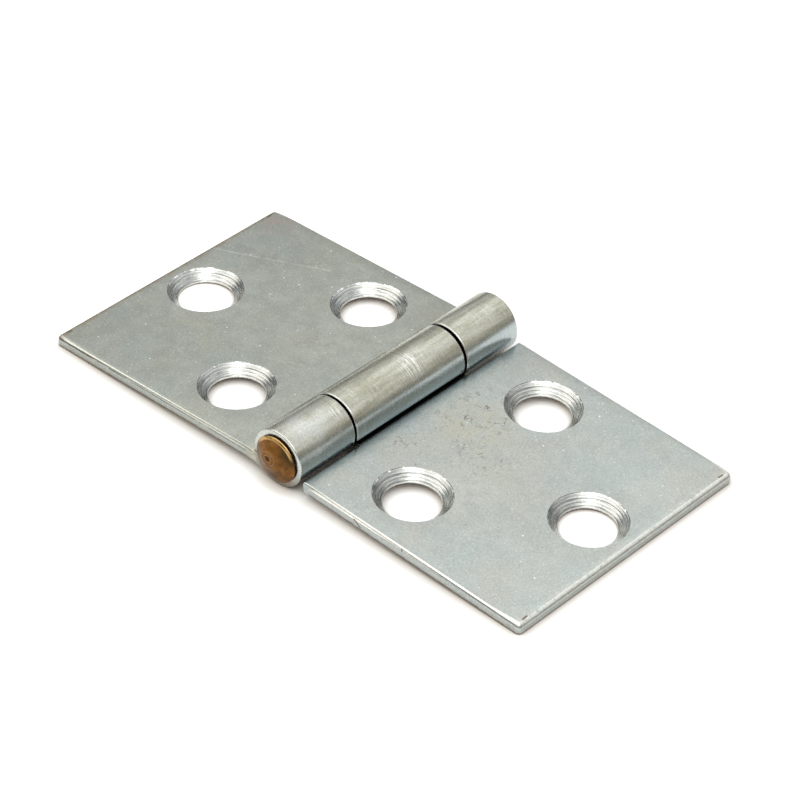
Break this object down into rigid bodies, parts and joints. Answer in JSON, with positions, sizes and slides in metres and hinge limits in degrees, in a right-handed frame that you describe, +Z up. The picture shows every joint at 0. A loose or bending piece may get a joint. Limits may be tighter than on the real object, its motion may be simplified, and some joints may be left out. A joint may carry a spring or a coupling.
{
  "type": "flap hinge",
  "caption": "Pressed steel flap hinge: square leaves with countersunk screw holes, rolled into knuckles round a riveted pin, for fold-down flaps and table leaves.",
  "frame": {"origin": "on the ground, under the middle of the barrel", "axes": "+Y along the barrel, away from the viewer; +X towards the leaf with the middle knuckle; +Z up"},
  "size_m": [0.0792, 0.0422, 0.008],
  "materials": {
    "plated_steel_left": "bright zinc plating on cold-rolled sheet, dulled, with fine scratches",
    "plated_steel_right": "bright zinc plating on cold-rolled sheet, dulled, with fine scratches",
    "pin_brass": "bare, riveted ends with turning marks"
  },
  "bodies": {
    "fixed_leaf": {"end_knuckle_leaf": "plated_steel_left", "hinge_pin": "pin_brass"},
    "swinging_leaf": {"middle_knuckle_leaf": "plated_steel_right"}
  },
  "joints": [
    {"name": "leaf_swing", "type": "hinge", "parent": "fixed_leaf", "child": "swinging_leaf", "pos_m": [0, 0, 0.004], "axis": [0, -1, 0], "range_deg": [-110, 186]}
  ]
}
